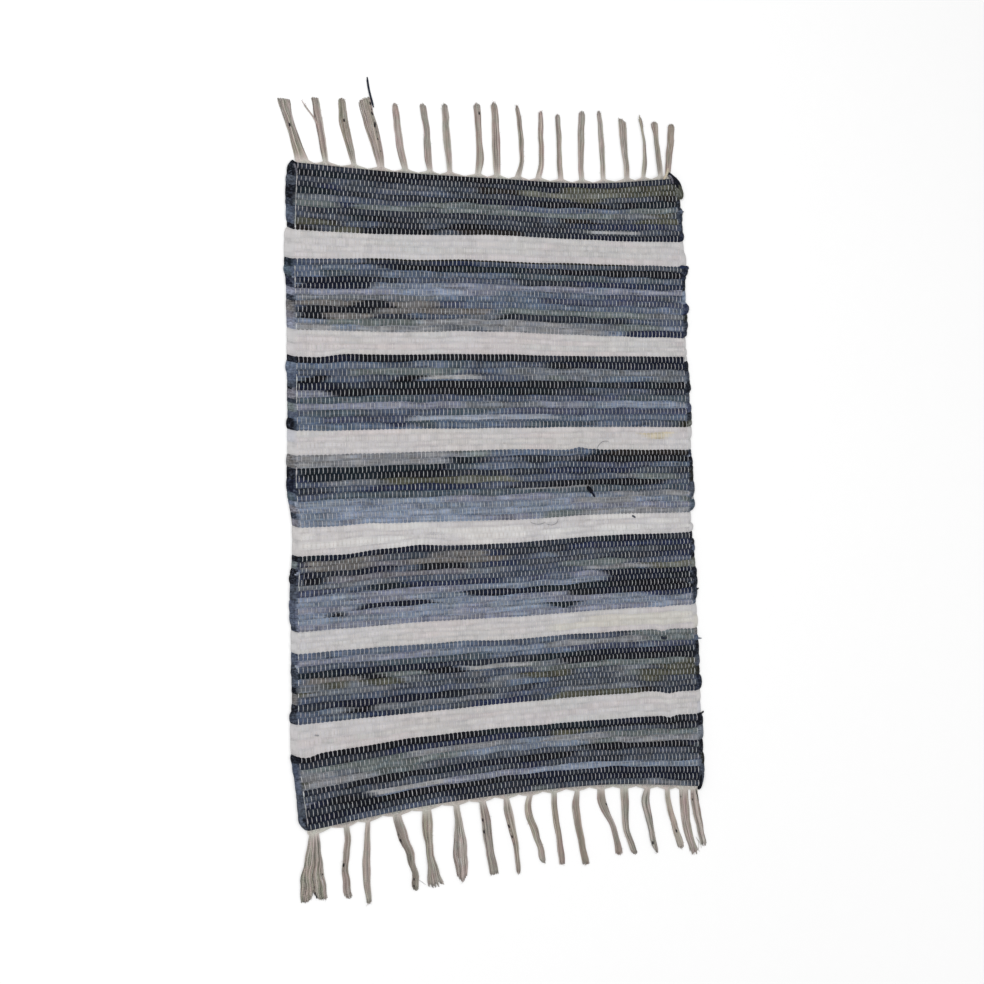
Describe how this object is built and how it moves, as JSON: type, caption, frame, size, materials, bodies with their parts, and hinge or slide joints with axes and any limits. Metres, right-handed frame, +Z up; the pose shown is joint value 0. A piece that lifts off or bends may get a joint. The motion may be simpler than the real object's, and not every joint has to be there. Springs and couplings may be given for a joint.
{
  "type": "rag rug",
  "caption": "Flat rectangular rag rug in dark blue, grey and black bands parted by pale stripes, with a tasselled cotton fringe at each end.",
  "frame": {"origin": "middle of the whole rug on the surface it lies on, fringes included", "axes": "+Y along the warp, from the bottom fringe to the top fringe; +X across the rug along the rag picks; +Z up, out of the face that shows"},
  "size_m": [0.6212, 1.1364, 0.0055],
  "materials": {
    "rag_weave": "rough plain weave of torn cotton rag on a cotton warp, matt",
    "warp_cotton": "undyed cotton yarn in loose gathered bunches, matt"
  },
  "bodies": {
    "root": {"rug": "rag_weave", "fringe_top": "warp_cotton", "fringe_bottom": "warp_cotton"}
  },
  "joints": []
}
